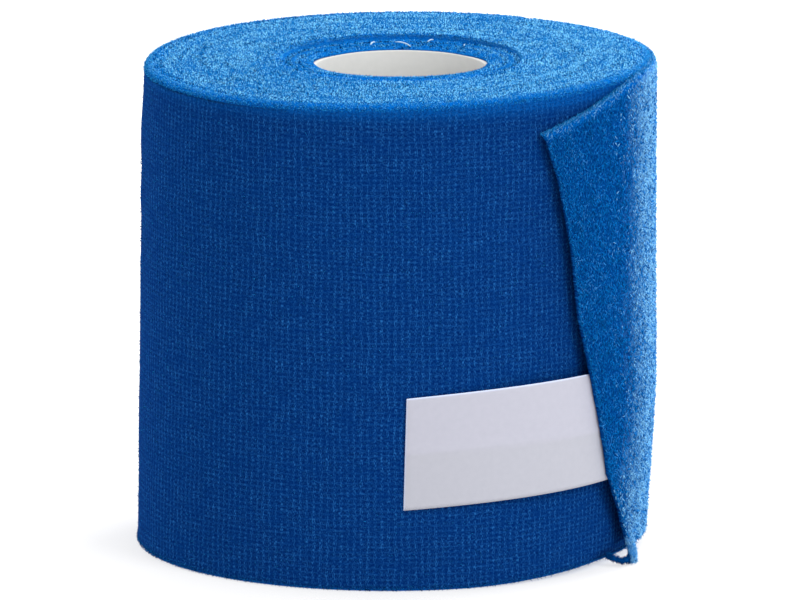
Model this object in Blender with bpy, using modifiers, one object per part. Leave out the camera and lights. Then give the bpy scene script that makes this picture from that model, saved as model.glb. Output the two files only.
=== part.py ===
"""Cohesive crepe bandage wound on a paper core, standing on end, with its loose end lifting off.

Metres, +Z up. The roll stands on z = 0 and its own box is centred on the origin. Angles are in degrees about
the core, from the front (-Y) towards the right (+X).
"""

import bpy
import numpy as np

COLLECTION = "cohesive_bandage_roll"
MM = 0.001

# Driving dimensions of the cloth and the roll
CLOTH_WIDTH = 80 * MM
ROLL_RADIUS = 42.2 * MM  # where the loose end leaves the roll
SHEET = 1.0 * MM  # thickness of the loose end
GAP = 0.3 * MM  # between pieces that touch
WINDING_OFFSET = 0.6 * MM  # the winding lies this far left of the core's centre
RIM_ROUNDING = 1.2 * MM
FOOT_ROUNDING = 0.6 * MM

# Paper core
CORE_BORE = 14.0 * MM  # radius
CORE_WALL = 0.9 * MM
CORE_TOP = 1.1 * MM  # below the cloth's upper edge
CORE_FOOT = 0.7 * MM  # above the floor

# First turns round the core, which have slipped down at the back
INNER_TURNS = 19.8 * MM  # radius out to which they have slipped
INNER_SLIP = 1.1 * MM

# Unevenness of the roll
RIM_TILT = 0.85 * MM  # the rim is higher at the front right and lower at the front left
RIM_CROWN = 0.15 * MM  # and stands a little above the middle turns
FOOT_SPREAD = 1.1 * MM  # the foot spreads at the left
FOOT_DRAW_IN = 1.8 * MM  # and is drawn in at the right
FOOT_LIFT = 0.9 * MM  # where the last turns have also slipped up
DRAWN_HEIGHT = 27 * MM

# Loose end, which leaves the roll at PARTING and lifts from FREE to its cut edge
PARTING = 150.0
PARTING_STEP = 0.3  # degrees over which the roll's side drops under it
PARTING_GAP = 0.7
FREE = 92.0
CUT_EDGE = (  # height, mm; angle, degrees; lift from the roll, mm
    (0.5, 59.5, 1.6),
    (2.8, 62.5, 1.2),
    (9.0, 58.2, 1.3),
    (16.0, 52.0, 1.6),
    (24.0, 49.0, 1.7),
    (34.0, 45.6, 1.5),
    (43.0, 42.2, 1.3),
    (55.0, 39.6, 1.3),
    (66.5, 36.0, 1.0),
    (74.3, 32.7, 0.6),
)
TOP_EDGE = (  # angle, degrees; drop below the rim, mm
    (32.7, 6.4),
    (50.0, 3.3),
    (60.0, 1.5),
    (68.0, 0.4),
)
BOTTOM_EDGE = (  # angle behind the cut edge, degrees; height, mm
    (0.0, 0.5),
    (2.0, 0.5),
    (3.4, 2.9),
    (14.0, 2.7),
    (40.0, 0.7),
)
TAIL_HEIGHT = 7 * MM  # the bottom corner trails in a narrow tail, out to the floor
TAIL_FLARE = 1.9 * MM
TAIL_REACH = 4.0

# Closure tab, a strip of paper round the roll from the front to under the loose end
TAB_START = 1.4
TAB_END = 60.0
TAB_WIDTH = 18.7 * MM
TAB_HEIGHT = 22.9 * MM  # of its middle, at its free end
TAB_RISE = 1.6 * MM
TAB_SHEET = 1.0 * MM

# Facets
ROLL_COLUMNS = 108
CORE_COLUMNS = 64
WALL_ROWS = (0.06, 0.14, 0.24, 0.36, 0.5, 0.65, 0.8, 0.92)  # shares of the cloth's width
TAIL_ROWS = (0, 0.012, 0.026, 0.045, 0.07, 0.1, 0.15, 0.2, 0.27)  # shares of the sheet's height
SHEET_ROWS = (*TAIL_ROWS, 0.35, 0.43, 0.52, 0.61, 0.7, 0.79, 0.87, 0.94, 1)
TAIL_COLUMNS = (0, 1.0, 2.0, 3.4, 5.5, 8.0)  # degrees behind the cut edge
SHEET_COLUMNS = 26  # from 11 degrees behind it
FOOT_RINGS = (0.6, 0.8)  # shares of the roll's radius
RIM_RINGS = (0.86, 0.7)
RECESS_STEP = 0.3 * MM


def smooth(x):
    """Eases from 0 to 1 as x does."""
    x = np.clip(x, 0, 1)
    return x * x * (3 - 2 * x)


def bump(angle, centre, half_width):
    """One at the centre, easing to 0 at half_width degrees to either side."""
    away = np.abs((angle - centre + 180) % 360 - 180)
    return smooth(1 - away / half_width)


def wall_radius(angle, height):
    """Radius of the roll's side. It shrinks by one sheet and its gap in a full turn from the parting."""
    turned = ((angle - PARTING) % 360) / 360
    low = np.clip(1 - height / CLOTH_WIDTH, 0, 1)
    drawn = np.clip(1 - height / DRAWN_HEIGHT, 0, 1)
    return (
        ROLL_RADIUS
        - (SHEET + GAP) * turned
        - WINDING_OFFSET * np.sin(np.radians(angle))
        + FOOT_SPREAD * low**1.5 * bump(angle, -60, 85)
        - FOOT_DRAW_IN * drawn * bump(angle, 78, 66)
    )


def rim_height(angle, radius):
    """Height of the upper face, level near the core but for the turns that have slipped at the back."""
    side = np.sin(np.radians(angle))
    front = np.cos(np.radians(angle))
    outwards = smooth((radius - 0.5 * ROLL_RADIUS) / (0.4 * ROLL_RADIUS))
    tilt = RIM_CROWN + RIM_TILT * side * (1 + front) / 2
    slip = INNER_SLIP * (1 - front) / 2 * (radius < INNER_TURNS)
    return CLOTH_WIDTH + tilt * outwards - slip


def foot_height(angle, radius):
    """Height of the lower face, flat but for the last turns at the right and the first turns."""
    last_turns = smooth((radius - 0.82 * ROLL_RADIUS) / (0.12 * ROLL_RADIUS))
    first_turns = radius < INNER_TURNS
    return FOOT_LIFT * bump(angle, 64, 52) * last_turns + (CORE_FOOT - GAP) * first_turns


def on_roll(angle, radius, height):
    """Points at these angles, radii and heights, stacked along a last axis."""
    turn = np.radians(angle)
    return np.stack(np.broadcast_arrays(radius * np.sin(turn), -radius * np.cos(turn), height), axis=-1)


def section(angle):
    """Closed outline of the roll's cut at one angle, as radii and heights, from the bore's foot outwards."""
    bore = CORE_BORE + CORE_WALL + GAP
    recess = INNER_TURNS - RECESS_STEP, INNER_TURNS + RECESS_STEP
    outer = wall_radius(angle, FOOT_ROUNDING)
    rim = wall_radius(angle, CLOTH_WIDTH)
    quarter = np.radians((0, 30, 60, 90))
    radii, heights = [], []
    for radius in (bore, *recess, *(share * ROLL_RADIUS for share in FOOT_RINGS)):
        radii.append(radius)
        heights.append(foot_height(angle, radius))
    for turn in quarter:
        radius = outer - FOOT_ROUNDING * (1 - np.sin(turn))
        radii.append(radius)
        heights.append(foot_height(angle, outer) + FOOT_ROUNDING * (1 - np.cos(turn)))
    for share in WALL_ROWS:
        radii.append(wall_radius(angle, share * CLOTH_WIDTH))
        heights.append(share * CLOTH_WIDTH)
    for turn in quarter:
        radii.append(rim - RIM_ROUNDING * (1 - np.cos(turn)))
        heights.append(rim_height(angle, rim) - RIM_ROUNDING * (1 - np.sin(turn)))
    for radius in (*(share * ROLL_RADIUS for share in RIM_RINGS), *reversed(recess), bore):
        radii.append(radius)
        heights.append(rim_height(angle, radius))
    return np.array(radii), np.array(heights)


def grid_faces(rows, columns, closed):
    """Quads of a grid whose points are numbered along its rows. A closed grid joins up both ways."""
    row = np.arange(rows if closed else rows - 1)[:, None]
    column = np.arange(columns if closed else columns - 1)[None, :]
    next_row = (row + 1) % rows
    next_column = (column + 1) % columns
    corners = (
        row * columns + column,
        row * columns + next_column,
        next_row * columns + next_column,
        next_row * columns + column,
    )
    return np.stack(np.broadcast_arrays(*corners), axis=-1).reshape(-1, 4)


def add_surface(name, points, closed, material, collection):
    """Object whose mesh is a grid of points, rows by columns, with its faces turned outwards."""
    rows, columns = points.shape[:2]
    mesh = bpy.data.meshes.new(name)
    mesh.from_pydata(points.reshape(-1, 3).tolist(), [], grid_faces(rows, columns, closed).tolist())
    mesh.materials.append(material)
    mesh.shade_smooth()
    mesh.set_sharp_from_angle(angle=np.radians(40))
    part = bpy.data.objects.new(name, mesh)
    collection.objects.link(part)
    return part


def make_wound_roll(material, collection):
    """Loft of unlike sections round the core, each a little nearer to it than the one before."""
    angles = PARTING + np.linspace(0, 360 - PARTING_STEP, ROLL_COLUMNS + 1)
    points = [on_roll(angle, *section(angle)) for angle in angles]
    return add_surface("wound_roll", np.stack(points, axis=1), True, material, collection)


def make_loose_end(material, collection):
    """Outer face of the sheet as a grid from the cut edge back to the parting, thickened inwards."""
    edge_height, edge_angle, edge_lift = np.array(CUT_EDGE).T
    top_angle, top_drop = np.array(TOP_EDGE).T
    behind, bottom_height = np.array(BOTTOM_EDGE).T
    back = PARTING - PARTING_GAP
    width = back - edge_angle[0]
    share = np.concatenate([TAIL_COLUMNS, np.linspace(11, width, SHEET_COLUMNS)]) / width

    upper_angle = edge_angle[-1] + share * (back - edge_angle[-1])
    upper = rim_height(upper_angle, ROLL_RADIUS) - MM * np.interp(upper_angle, top_angle, top_drop)
    lower = MM * np.interp(share * width, behind, bottom_height)
    height = lower + np.array(SHEET_ROWS)[:, None] * (upper - lower)

    cut = np.interp(height / MM, edge_height, edge_angle)
    lift = MM * np.interp(height / MM, edge_height, edge_lift)
    angle = cut + share * (back - cut)
    lifted = lift * smooth((FREE - angle) / (FREE - cut))
    low = np.clip(1 - height / TAIL_HEIGHT, 0, 1)
    tail = TAIL_FLARE * low**2 * np.exp(-((share * width / TAIL_REACH) ** 2))
    radius = wall_radius(angle, height) + GAP + SHEET + lifted + tail
    sheet = add_surface("loose_end", on_roll(angle, radius, height), False, material, collection)
    thicken(sheet, SHEET)
    return sheet


def make_closure_tab(material, collection):
    """Paper strip bent round the roll, rising a little towards the loose end, thickened inwards."""
    angle = np.linspace(TAB_START, TAB_END, 22)
    across = np.linspace(-0.5, 0.5, 5)[:, None]
    rise = TAB_RISE * (1 - (1 - (angle - TAB_START) / (TAB_END - TAB_START)) ** 2)
    height = TAB_HEIGHT + rise + across * TAB_WIDTH
    radius = wall_radius(angle, height) + GAP + TAB_SHEET
    tab = add_surface("closure_tab", on_roll(angle, radius, height), False, material, collection)
    thicken(tab, TAB_SHEET)
    return tab


def thicken(sheet, thickness):
    """Gives an open surface its thickness on the side away from its normals."""
    solidify = sheet.modifiers.new("thickness", "SOLIDIFY")
    solidify.thickness = thickness
    solidify.offset = -1


def make_core_tube(material, collection):
    """Turned paper tube, its profile run down the outside and back up the bore."""
    outer = CORE_BORE + CORE_WALL
    top = CLOTH_WIDTH - CORE_TOP
    outline = ((outer, 0, top), (outer, 0, CORE_FOOT), (CORE_BORE, 0, CORE_FOOT), (CORE_BORE, 0, top))
    mesh = bpy.data.meshes.new("core_tube")
    mesh.from_pydata(outline, [(0, 1), (1, 2), (2, 3), (3, 0)], [])
    mesh.materials.append(material)
    core = bpy.data.objects.new("core_tube", mesh)
    collection.objects.link(core)
    turned = core.modifiers.new("turned", "SCREW")
    turned.steps = turned.render_steps = CORE_COLUMNS
    turned.use_merge_vertices = True
    turned.merge_threshold = 0.01 * MM
    turned.use_smooth_shade = False
    return core


def make_material(name, color, roughness):
    """Plain dielectric of one colour, given as linear red, green and blue."""
    material = bpy.data.materials.new(name)
    material.use_nodes = True
    shader = material.node_tree.nodes["Principled BSDF"]
    shader.inputs["Base Color"].default_value = (*color, 1)
    shader.inputs["Roughness"].default_value = roughness
    shader.inputs["Metallic"].default_value = 0
    material.diffuse_color = (*color, 1)
    return material


def centre_on_box(parts):
    """Moves every part by the same step sideways, which centres the box round them all on the origin."""
    corners = np.concatenate([[point.co for point in part.data.vertices] for part in parts])
    middle = (corners.min(axis=0) + corners.max(axis=0)) / 2
    for part in parts:
        part.location = (-middle[0], -middle[1], 0)


def main():
    for existing in list(bpy.data.objects):
        bpy.data.objects.remove(existing)
    collection = bpy.data.collections.new(COLLECTION)
    bpy.context.scene.collection.children.link(collection)
    centre_on_box(
        [
            make_wound_roll(make_material("wound cohesive crepe", (0.008, 0.095, 0.36), 0.9), collection),
            make_loose_end(make_material("slack cohesive crepe", (0.012, 0.13, 0.44), 0.9), collection),
            make_closure_tab(make_material("white tab paper", (0.72, 0.72, 0.76), 0.6), collection),
            make_core_tube(make_material("off-white core paper", (0.76, 0.73, 0.7), 0.7), collection),
        ]
    )


main()
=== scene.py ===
"""Looks of the cohesive crepe bandage roll: wound cloth, loose end, closure tab, paper core and fuzz.

Metres, +Z up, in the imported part's frame. Angles are in degrees about the core, from the front (-Y) towards
the right (+X). The cloth's patterns run on each piece's own map, in metres of cloth: along the winding, and
up across its width.
"""

import bpy
import numpy as np
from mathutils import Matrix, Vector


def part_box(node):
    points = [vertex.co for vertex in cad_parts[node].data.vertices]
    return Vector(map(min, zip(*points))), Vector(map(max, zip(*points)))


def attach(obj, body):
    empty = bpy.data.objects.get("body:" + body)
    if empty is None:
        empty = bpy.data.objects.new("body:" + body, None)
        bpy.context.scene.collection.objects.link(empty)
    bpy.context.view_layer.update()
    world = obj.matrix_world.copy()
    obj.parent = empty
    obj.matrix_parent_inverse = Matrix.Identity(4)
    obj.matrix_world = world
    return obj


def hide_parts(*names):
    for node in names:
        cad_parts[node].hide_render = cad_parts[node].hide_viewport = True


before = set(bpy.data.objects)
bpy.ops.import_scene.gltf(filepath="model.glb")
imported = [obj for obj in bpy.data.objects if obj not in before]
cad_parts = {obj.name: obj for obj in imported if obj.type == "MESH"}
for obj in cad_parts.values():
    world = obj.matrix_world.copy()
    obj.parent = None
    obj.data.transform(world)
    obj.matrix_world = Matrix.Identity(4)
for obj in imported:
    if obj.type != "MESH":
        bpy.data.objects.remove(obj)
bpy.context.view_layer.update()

MM = 0.001

# Form of the roll, as in the part's source but for small changes to the loose end's edges
CLOTH_WIDTH = 80 * MM
ROLL_RADIUS = 42.2 * MM
SHEET = 1.0 * MM
GAP = 0.3 * MM
WINDING_OFFSET = 0.6 * MM
RIM_ROUNDING = 1.2 * MM
FOOT_ROUNDING = 0.6 * MM
CORE_BORE = 14.0 * MM
CORE_WALL = 0.9 * MM
CORE_TOP = 1.1 * MM
CORE_FOOT = 0.7 * MM
INNER_SLIP = 1.1 * MM
RIM_TILT = 0.85 * MM
RIM_CROWN = 0.15 * MM
FOOT_SPREAD = 1.1 * MM
FOOT_DRAW_IN = 1.8 * MM
FOOT_LIFT = 0.9 * MM
DRAWN_HEIGHT = 27 * MM
PARTING = 150.0
PARTING_STEP = 0.3
FREE = 92.0
CUT_EDGE = (  # height, mm; angle, degrees; lift from the roll, mm
    (0.5, 59.5, 1.6),
    (2.8, 62.5, 1.2),
    (9.0, 58.2, 1.3),
    (16.0, 52.0, 1.6),
    (24.0, 49.0, 1.7),
    (34.0, 45.6, 1.5),
    (43.0, 42.4, 1.1),
    (55.0, 40.3, 1.0),
    (66.5, 36.8, 0.8),
    (74.3, 33.2, 0.6),
)
TOP_EDGE = (  # angle, degrees; drop below the rim, mm
    (33.2, 6.4),
    (50.0, 3.3),
    (60.0, 1.5),
    (68.0, 0.4),
)
BOTTOM_EDGE = (  # angle behind the cut edge, degrees; height, mm
    (0.0, 0.5),
    (2.0, 0.5),
    (3.4, 2.6),
    (8.0, 2.7),
    (16.0, 2.4),
    (40.0, 0.7),
)
TAIL_HEIGHT = 7 * MM
TAIL_FLARE = 1.9 * MM
TAIL_REACH = 4.0
TAB_START = 1.4
TAB_END = 60.0
TAB_WIDTH = 18.7 * MM
TAB_HEIGHT = 22.9 * MM
TAB_RISE = 1.6 * MM

# What the finished pieces add to it
CREPE = 0.7 * MM  # thickness of the crepe
PAPER = 0.2 * MM  # thickness of the closure tab
DENTS = ((61.9, 1.6, 0.1), (53.5, 1.9, 0.12), (49.3, 1.4, 0.1))  # height, half width and depth, mm

THREAD_ENDS = (  # width, mm; tone; then angle, degrees; radius and height, mm
    (0.25, 0.5, ((-162.0, 15.8, 79.5), (-164.2, 16.6, 79.7), (-166.4, 17.4, 79.6))),
    (0.22, 0.5, ((-177.2, 17.0, 79.6), (179.5, 16.4, 79.65), (176.0, 15.7, 79.5), (173.0, 14.9, 79.2))),
    (0.22, 0.5, ((165.2, 17.7, 79.6), (164.2, 18.4, 79.8), (163.2, 19.2, 79.7))),
    (0.2, 0.5, ((143.6, 17.9, 79.7), (142.4, 17.3, 79.6))),
)
TAIL_THREADS = (  # the same: a loop from the roll's lowest turns to the tail, its low tone painted shade, and the tail's twisted tip
    (
        0.7,
        0.02,
        ((55.6, 40.9, 1.9), (56.6, 42.0, 1.3), (58.1, 42.8, 0.9), (59.8, 43.1, 0.9), (61.1, 42.8, 1.4)),
    ),
    (1.4, 0.6, ((61.6, 42.4, 3.9), (61.6, 43.0, 2.6), (61.1, 43.4, 1.6), (60.5, 43.6, 0.6))),
)

CORE_LEVEL = CLOTH_WIDTH - CORE_TOP - 0.2 * MM  # level of the finished core's rim
SLIPPED_RADIUS = 19.75 * MM  # of the first turns, on the average
WORN_DEPTH = 0.55 * MM  # how far the side is drawn in at the upper left
WORN_FROM = 66 * MM  # height from which it is

# Sizes of the patterns on cloth and paper
LATTICE = (1.12 * MM, 0.89 * MM, 1)  # spacing of the gauze's threads, along and up
UPRIGHT_STROKES = (0.17 * MM, 0.42 * MM, 1)  # paler strokes on them: painted highlights where the threads float on top
LEVEL_STROKES = (0.5 * MM, 0.17 * MM, 1)
WANDER = 7 * MM  # over which the threads wander from straight
WANDERING = (1.0 * MM, 0.7 * MM, 0)  # and how far they do
FADED_PATCH = 3 * MM  # of gauze that is pressed too flat to show its threads
CREASES = (0.3 * MM, 0.5 * MM, 1)  # of the slack crepe
TUFT = 0.3 * MM  # of felt, a few fibres drawn as one
THREAD_TWIST = 0.4 * MM
TAB_FIBRES = 1.1 * MM
CORE_PULP = 1.4 * MM

# How many fibres there are
TOP_FIBRES = 46000  # in each of two pieces
RIM_FIBRES = 9000
FOOT_FIBRES = 6000
SIDE_FIBRES = 9000
LOOSE_TOP_FIBRES = 6000
LOOSE_CUT_FIBRES = 2500
SLIPPED_FIBRES = 5000
NAP_THREADS = 44500
NAP_TUFTS = 3200  # along the loose end's top edge
TAIL_FIBRES = 800  # about each thread of the tail

# Camera and lamps
CAMERA_RISE = 11.6  # degrees
CAMERA_AWAY = 2.6
CAMERA_AIM = 39.7 * MM  # height on the core's axis
LAMP_AIM = 0.05
LAMPS = (  # name; azimuth and elevation, degrees; distance, width and height, m; power, W
    ("overhead", 165, 72, 0.9, 0.9, 0.9, 4.7),
    ("right front", 42, 34, 0.8, 0.3, 0.25, 2.5),
    ("right rear", 142, 4, 0.6, 0.4, 0.1, 8.0),
    ("left rear", -130, 4, 0.6, 0.3, 0.1, 1.2),
)

core_low, core_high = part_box("core_tube")
CORE_X = (core_low[0] + core_high[0]) / 2
CORE_Y = (core_low[1] + core_high[1]) / 2


def smooth(x):
    """Eases from 0 to 1 as x does: 3 x squared less 2 x cubed, held within 0 and 1."""
    x = np.clip(x, 0, 1)
    return x * x * (3 - 2 * x)


def bump(angle, centre, half_width):
    """One at the centre, easing to 0 at half_width degrees to either side."""
    away = np.abs((angle - centre + 180) % 360 - 180)
    return smooth(1 - away / half_width)


def mottle(across, up, cells, seed):
    """Smooth noise from -1 to 1: random values at the corners of a lattice, eased between them.

    across runs from 0 to 1 over cells[0] cells and joins up at its ends, up from 0 to 1 over cells[1].
    """
    values = np.random.default_rng(seed).uniform(-1, 1, (cells[0], cells[1] + 2))
    x = (across % 1) * cells[0]
    y = np.clip(up, 0, 1) * cells[1]
    column = x.astype(int) % cells[0]
    row = y.astype(int)
    following = (column + 1) % cells[0]
    along = smooth(x - np.floor(x))
    lower = values[column, row] * (1 - along) + values[following, row] * along
    upper = values[column, row + 1] * (1 - along) + values[following, row + 1] * along
    rising = smooth(y - row)
    return lower * (1 - rising) + upper * rising


def wall_radius(angle, height):
    """Radius of the roll's side. It shrinks by one sheet and its gap in a full turn from the parting."""
    turned = ((angle - PARTING) % 360) / 360
    low = np.clip(1 - height / CLOTH_WIDTH, 0, 1)
    drawn = np.clip(1 - height / DRAWN_HEIGHT, 0, 1)
    return (
        ROLL_RADIUS
        - (SHEET + GAP) * turned
        - WINDING_OFFSET * np.sin(np.radians(angle))
        + FOOT_SPREAD * low**1.5 * bump(angle, -60, 85)
        - FOOT_DRAW_IN * drawn * bump(angle, 78, 66)
    )


def winding_radius(angle, height):
    """Radius of the finished side, drawn in a little at the upper left.

    Where the loose end still lies on the roll, that end is taken into it.
    """
    turned = PARTING - (PARTING - angle) % 360
    stuck = smooth((PARTING - turned) / 3) * smooth((turned - 50) / 24)
    worn = WORN_DEPTH * smooth((height - WORN_FROM) / (CLOTH_WIDTH - WORN_FROM)) * bump(angle, -88, 62)
    return wall_radius(angle, height) + (GAP + SHEET - CREPE) * stuck - worn


def slipped_turns(angle):
    """Radius of the first turns, which have slipped down at the back: a circle, a little off the centre."""
    turn = np.radians(angle)
    return SLIPPED_RADIUS + (0.25 * np.sin(turn) - 0.6 * np.cos(turn)) * MM


def rim_height(angle, radius):
    """Height of the upper face, level near the core but for the slipped turns, which sink towards it."""
    side = np.sin(np.radians(angle))
    front = np.cos(np.radians(angle))
    outwards = smooth((radius - 0.5 * ROLL_RADIUS) / (0.4 * ROLL_RADIUS))
    tilt = RIM_CROWN + RIM_TILT * side * (1 + front) / 2 + 0.33 * MM * side * (1 - front) / 2
    edge = slipped_turns(angle)
    sinking = 0.55 + 0.45 * np.clip((edge - radius) / (edge - CORE_BORE), 0, 1)
    slip = INNER_SLIP * (1 - front) / 2 * (radius < edge) * sinking
    standing = 0.3 * MM * (1 - front) / 2 * smooth(1 - (radius - edge) / (7 * MM)) * (radius > edge)
    sunk = 0.35 * MM * smooth((CORE_BORE + 2.6 * MM - radius) / (2.4 * MM))
    return CLOTH_WIDTH + tilt * outwards - slip + standing - sunk


def foot_height(angle, radius):
    """Height of the lower face, flat but for the last turns at the right and the first turns."""
    last_turns = smooth((radius - 0.82 * ROLL_RADIUS) / (0.12 * ROLL_RADIUS))
    first_turns = radius < slipped_turns(angle)
    return FOOT_LIFT * bump(angle, 64, 52) * last_turns + (CORE_FOOT - GAP) * first_turns


def inner_lip(angle):
    """Radius at which the top starts. It covers the core's rim, but for a thin line of it at the back.

    At the core's two sides, a little behind its middle, the cloth stands off it and leaves a dark gap.
    """
    line = 0.1 + 0.3 * smooth((-0.6 - np.cos(np.radians(angle))) / 0.3) - 0.25 * bump(angle, -75, 35)
    gaps = 0.6 * np.maximum(bump(angle, -112, 30), bump(angle, 110, 30))
    return CORE_BORE + MM * (line + gaps)


def outwards(angle, out, up):
    """Ways that point out from the core and up by these shares, at these angles, along a last axis."""
    turn = np.radians(angle)
    return np.stack(np.broadcast_arrays(np.sin(turn) * out, -np.cos(turn) * out, up), axis=-1)


def on_roll(angle, radius, height):
    """Points at these angles, radii and heights about the core, stacked along a last axis."""
    turn = np.radians(angle)
    x = CORE_X + radius * np.sin(turn)
    y = CORE_Y - radius * np.cos(turn)
    return np.stack(np.broadcast_arrays(x, y, height), axis=-1)


def linear(code):
    """Linear red, green and blue, and an alpha of 1, of an sRGB hex colour."""
    levels = np.array([int(code[at : at + 2], 16) for at in (1, 3, 5)]) / 255
    curved = ((levels + 0.055) / 1.055) ** 2.4
    return (*np.where(levels <= 0.04045, levels / 12.92, curved).tolist(), 1.0)


def add(tree, kind, settings, inputs):
    """Adds a node of this kind with its settings. An input given another node's output is linked to it."""
    node = tree.nodes.new(kind)
    for name, value in settings.items():
        setattr(node, name, value)
    for name, value in inputs.items():
        if isinstance(value, bpy.types.NodeSocket):
            tree.links.new(value, node.inputs[name])
        else:
            node.inputs[name].default_value = value
    return node


def new_material(name):
    """Empty node material of this name, with its tree and output node."""
    material = bpy.data.materials.new(name)
    material.use_nodes = True
    material.node_tree.nodes.clear()
    return material, material.node_tree, material.node_tree.nodes.new("ShaderNodeOutputMaterial")


def grid_faces(rows, columns, closed_rows, closed_columns):
    """Quads of a grid whose points are numbered along its rows, joined up where it is closed."""
    row = np.arange(rows if closed_rows else rows - 1)[:, None]
    column = np.arange(columns if closed_columns else columns - 1)[None, :]
    next_row = (row + 1) % rows
    next_column = (column + 1) % columns
    corners = (
        row * columns + column,
        row * columns + next_column,
        next_row * columns + next_column,
        next_row * columns + column,
    )
    return np.stack(np.broadcast_arrays(*corners), axis=-1).reshape(-1, 4)


def mesh_piece(name, points, faces, material, maps=None, values=None):
    """Object at the origin with these points and groups of faces, a map of places and the points' values."""
    mesh = bpy.data.meshes.new(name)
    mesh.from_pydata(points.reshape(-1, 3).tolist(), [], [face for group in faces for face in group.tolist()])
    mesh.materials.append(material)
    mesh.shade_smooth()
    if maps is not None:
        corner_points = np.empty(len(mesh.loops), np.int32)
        mesh.loops.foreach_get("vertex_index", corner_points)
        layer = mesh.uv_layers.new(name="cloth")
        layer.uv.foreach_set("vector", maps.reshape(-1, 2)[corner_points].astype(np.float32).ravel())
    for label, amounts in (values or {}).items():
        attribute = mesh.attributes.new(label, "FLOAT", "POINT")
        attribute.data.foreach_set("value", np.asarray(amounts, np.float32).ravel())
    piece = bpy.data.objects.new(name, mesh)
    bpy.context.scene.collection.objects.link(piece)
    return piece


def gauze(tree, cloth):
    """How far the lattice of the pressed gauze stands out, and where its painted highlight strokes are, each
    from 0 to 1.

    The lattice is two sets of soft lines, each broken into stretches of unlike strength. The strokes are
    short upright dashes of noise, most of them on the lattice's upright lines: painted highlights where the
    threads float on top. Both fade to plain cloth in patches.
    """
    wander = add(tree, "ShaderNodeTexNoise", {}, {"Vector": cloth, "Scale": 1 / WANDER, "Detail": 1})
    moved = add(
        tree,
        "ShaderNodeVectorMath",
        {"operation": "MULTIPLY_ADD"},
        {0: wander.outputs["Color"], 1: WANDERING, 2: cloth},
    )
    cells = add(tree, "ShaderNodeVectorMath", {"operation": "DIVIDE"}, {0: moved.outputs[0], 1: LATTICE})
    cell = add(tree, "ShaderNodeVectorMath", {"operation": "FLOOR"}, {0: cells.outputs[0]})
    within = add(tree, "ShaderNodeVectorMath", {"operation": "FRACTION"}, {0: cells.outputs[0]})
    centred = add(
        tree, "ShaderNodeVectorMath", {"operation": "SUBTRACT"}, {0: within.outputs[0], 1: (0.5, 0.5, 0)}
    )
    sides = add(tree, "ShaderNodeVectorMath", {"operation": "ABSOLUTE"}, {0: centred.outputs[0]})
    away = add(tree, "ShaderNodeSeparateXYZ", {}, {"Vector": sides.outputs[0]})
    chance = add(tree, "ShaderNodeTexWhiteNoise", {"noise_dimensions": "3D"}, {"Vector": cell.outputs[0]})
    evened = add(
        tree,
        "ShaderNodeVectorMath",
        {"operation": "MULTIPLY_ADD"},
        {0: chance.outputs["Color"], 1: (0.6, 0.6, 0), 2: (0.35, 0.35, 0)},
    )
    strength = add(tree, "ShaderNodeSeparateXYZ", {}, {"Vector": evened.outputs[0]})
    lines, stretches = [], []
    for axis, size in (("X", UPRIGHT_STROKES), ("Y", LEVEL_STROKES)):
        line = add(
            tree,
            "ShaderNodeMapRange",
            {"interpolation_type": "SMOOTHSTEP"},
            {"Value": away.outputs[axis], "From Min": 0.34, "From Max": 0.08},
        )
        drawn_out = add(tree, "ShaderNodeVectorMath", {"operation": "DIVIDE"}, {0: cloth, 1: size})
        noise = add(tree, "ShaderNodeTexNoise", {}, {"Vector": drawn_out.outputs[0], "Scale": 1, "Detail": 0})
        strokes = add(
            tree,
            "ShaderNodeMapRange",
            {},
            {"Value": noise.outputs["Fac"], "From Min": 0.44, "From Max": 0.7},
        )
        broken = add(
            tree, "ShaderNodeMath", {"operation": "MULTIPLY"}, {0: line.outputs[0], 1: strength.outputs[axis]}
        )
        held = add(
            tree, "ShaderNodeMath", {"operation": "MULTIPLY_ADD"}, {0: broken.outputs[0], 1: 0.8, 2: 0.3}
        )
        stretch = add(
            tree, "ShaderNodeMath", {"operation": "MULTIPLY"}, {0: strokes.outputs[0], 1: held.outputs[0]}
        )
        stretches.append(stretch)
        lines.append(broken)
    patches = add(tree, "ShaderNodeTexNoise", {}, {"Vector": cloth, "Scale": 1 / FADED_PATCH, "Detail": 2})
    strong = add(
        tree,
        "ShaderNodeMapRange",
        {},
        {"Value": patches.outputs["Fac"], "From Min": 0.3, "From Max": 0.7, "To Min": 0.5, "To Max": 1.0},
    )
    # The strokes, called fibres here, are painted highlights on the threads, the level ones fainter
    fainter = add(tree, "ShaderNodeMath", {"operation": "MULTIPLY"}, {0: stretches[1].outputs[0], 1: 0.5})
    fibres = add(
        tree, "ShaderNodeMath", {"operation": "MAXIMUM"}, {0: stretches[0].outputs[0], 1: fainter.outputs[0]}
    )
    painted_highlights = add(
        tree, "ShaderNodeMath", {"operation": "MULTIPLY"}, {0: fibres.outputs[0], 1: strong.outputs[0]}
    )
    threads = add(
        tree, "ShaderNodeMath", {"operation": "MAXIMUM"}, {0: lines[0].outputs[0], 1: lines[1].outputs[0]}
    )
    seen = add(
        tree,
        "ShaderNodeMix",
        {"data_type": "FLOAT"},
        {"Factor": strong.outputs[0], 2: 0.8, 3: threads.outputs[0]},
    )
    return seen.outputs[0], painted_highlights.outputs[0]


def pressed_gauze(tree, cloth):
    """Colour and height of the gauze where it is wound tight, with painted highlight strokes on its threads.
    """
    threads, fibres = gauze(tree, cloth)
    ground = add(
        tree,
        "ShaderNodeMix",
        {"data_type": "RGBA"},
        {"Factor": threads, 6: linear("#001b54"), 7: linear("#012b6a")},
    )
    # fibres are the paler strokes: painted highlights on the threads
    colour = add(
        tree,
        "ShaderNodeMix",
        {"data_type": "RGBA"},
        {"Factor": fibres, 6: ground.outputs[2], 7: linear("#2262a4")},
    )
    relief = add(tree, "ShaderNodeMath", {"operation": "MULTIPLY_ADD"}, {0: threads, 1: 0.6, 2: fibres})
    return colour.outputs[2], relief.outputs[0]


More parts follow.
